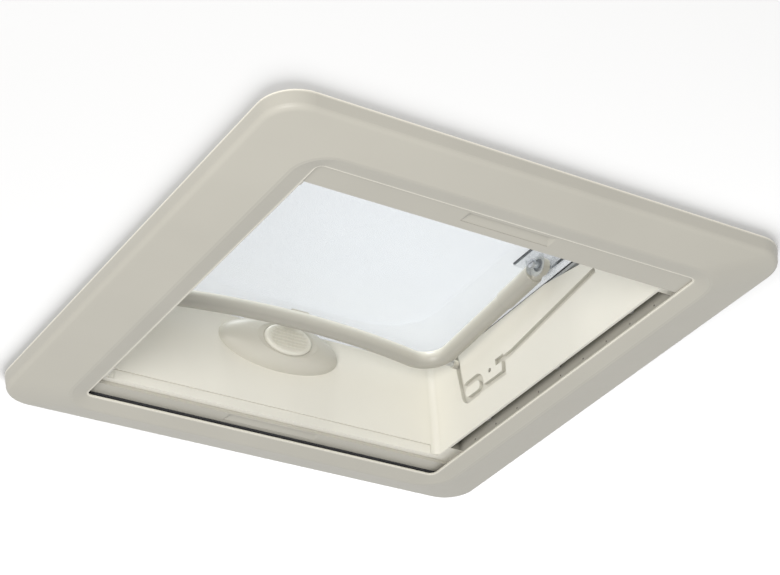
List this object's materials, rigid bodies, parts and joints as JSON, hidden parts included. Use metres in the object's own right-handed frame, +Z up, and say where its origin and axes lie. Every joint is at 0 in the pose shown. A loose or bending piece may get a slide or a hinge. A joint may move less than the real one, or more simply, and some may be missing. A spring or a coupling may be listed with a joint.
{
  "type": "roof hatch",
  "caption": "Caravan roof hatch with hinged double-pane dome, bow handle in guide tracks, push-button lock, blackout blind and flyscreen.",
  "frame": {"origin": "centre of the lowest face of the ceiling trim, which faces the room", "axes": "+Z up to the sky, +Y towards the hinge side, +X to the right seen along +Y"},
  "size_m": [0.5, 0.51, 0.1454],
  "materials": {
    "cream_plastic": "fine satin",
    "liner_plastic": "satin",
    "handle_plastic": "satin",
    "frame_plastic": "matt",
    "clear_acrylic": "polished",
    "black_rubber": "matt",
    "zinc_steel": "zinc plated",
    "galvanised_steel": "galvanised",
    "blackout_fabric": "pleated, foil backed",
    "mesh_fabric": "pleated fine mesh"
  },
  "bodies": {
    "frame": {"ceiling_trim": "cream_plastic", "blind_rail_left": "liner_plastic", "blind_rail_right": "liner_plastic", "front_cassette": "liner_plastic", "rear_cassette": "liner_plastic", "well_liner": "liner_plastic", "outer_frame": "frame_plastic", "roof_sealant": "black_rubber", "collar_seal": "black_rubber", "roof_clamps": "galvanised_steel", "clamp_screws": "zinc_steel", "frame_screws": "zinc_steel", "cassette_screws": "zinc_steel", "trim_clips": "galvanised_steel", "hinge_base_left": "frame_plastic", "hinge_base_right": "frame_plastic", "hinge_pin_left": "zinc_steel", "hinge_pin_right": "zinc_steel", "hinge_base_screws": "zinc_steel", "lock_housing": "cream_plastic", "lock_screws": "zinc_steel", "button_spring": "zinc_steel"},
    "dome": {"dome_inner": "clear_acrylic", "dome_outer": "clear_acrylic", "pane_spacer": "black_rubber", "hinge_leaf_left": "frame_plastic", "hinge_leaf_right": "frame_plastic", "hinge_leaf_screws": "zinc_steel", "bow_bracket_left": "clear_acrylic", "bow_bracket_right": "clear_acrylic", "bracket_gaskets": "black_rubber", "bow_pivot_left": "zinc_steel", "bow_pivot_right": "zinc_steel", "pivot_washers": "black_rubber"},
    "bow": {"bow_bar": "handle_plastic", "bow_striker": "handle_plastic", "guide_pin_left": "zinc_steel", "guide_pin_right": "zinc_steel", "guide_rollers": "handle_plastic"},
    "button": {"lock_button": "cream_plastic", "latch_bolt": "cream_plastic"},
    "rear_blind": {"rear_pull_bar": "cream_plastic", "blackout_cloth": "blackout_fabric"},
    "front_blind": {"front_pull_bar": "cream_plastic", "flyscreen_cloth": "mesh_fabric"}
  },
  "joints": [
    {"name": "dome_hinge", "type": "hinge", "parent": "frame", "child": "dome", "pos_m": [0, 0.205, 0.1058], "axis": [-1, 0, 0], "range_deg": [0, 58]},
    {"name": "bow_swing", "type": "hinge", "parent": "dome", "child": "bow", "pos_m": [0, 0.0375, 0.0995], "axis": [1, 0, 0], "range_deg": [0, 135.5]},
    {"name": "button_press", "type": "slide", "parent": "frame", "child": "button", "axis": [0, -0.9975, 0.0701], "range_m": [0, 0.004], "stiffness_N_per_m": 1200, "springref_m": -0.002, "deforming": ["button_spring"]},
    {"name": "rear_blind_slide", "type": "slide", "parent": "frame", "child": "rear_blind", "axis": [0, -1, 0], "range_m": [0, 0.36], "deforming": ["blackout_cloth"]},
    {"name": "front_blind_slide", "type": "slide", "parent": "frame", "child": "front_blind", "axis": [0, 1, 0], "range_m": [0, 0.36], "deforming": ["flyscreen_cloth"]}
  ],
  "couplings": [
    {"joint": "bow_swing", "follows": "dome_hinge", "ratio": 2.335}
  ]
}
